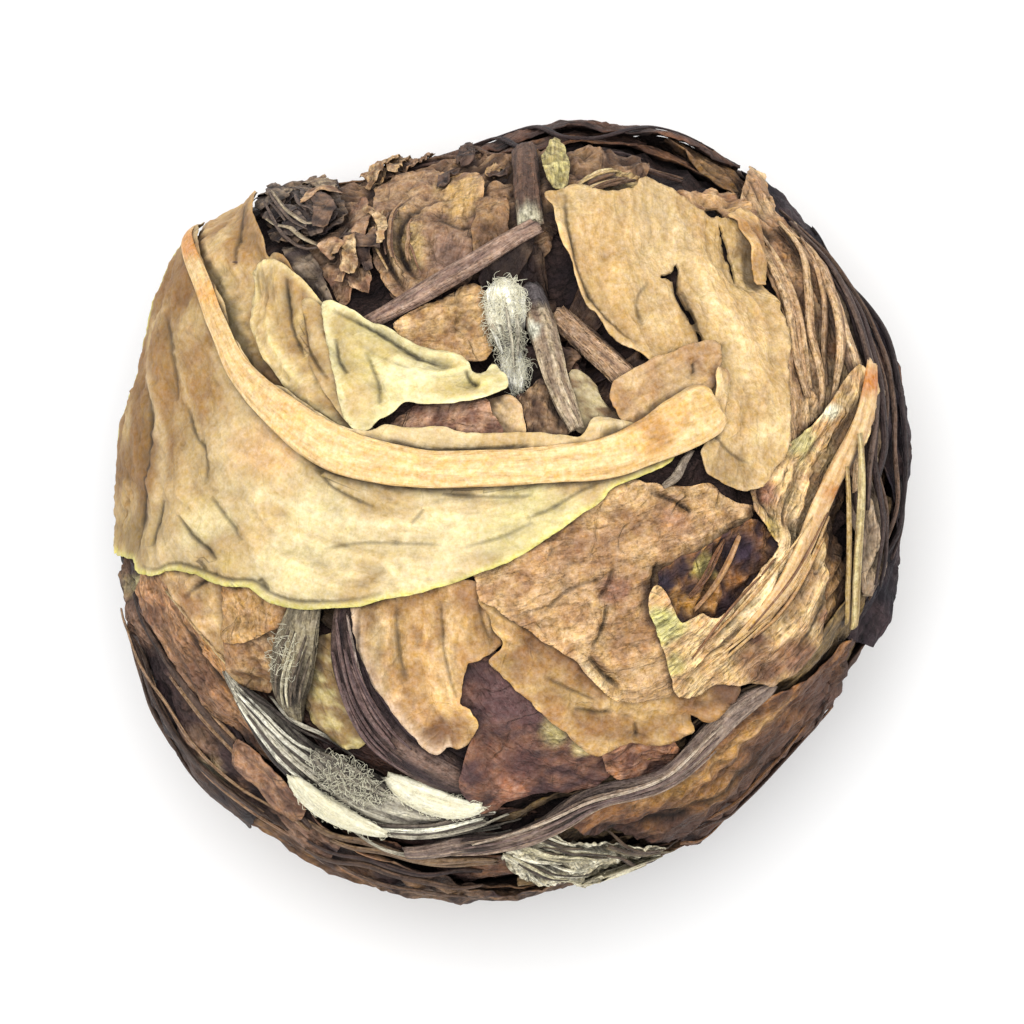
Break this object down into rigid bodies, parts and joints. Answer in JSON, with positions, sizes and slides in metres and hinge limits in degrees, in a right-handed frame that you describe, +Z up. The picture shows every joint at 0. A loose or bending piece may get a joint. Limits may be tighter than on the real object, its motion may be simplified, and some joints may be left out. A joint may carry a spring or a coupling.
{
  "type": "white tea pearl",
  "caption": "Ball of whole white tea leaves, silvery buds and stalks, twisted and pressed while damp, resting on a small flat with its knot up.",
  "frame": {"origin": "middle of the small flat the pearl rests on, at its lowest point", "axes": "+Z up through the pearl; the knot of the twist faces up and leans towards +Y, as at the top of the picture"},
  "size_m": [0.026, 0.0256, 0.0236],
  "materials": {
    "dried_tea": "matte, dry and veined, from pale straw to dark brown"
  },
  "bodies": {
    "root": {"tea_pearl": "dried_tea"}
  },
  "joints": []
}
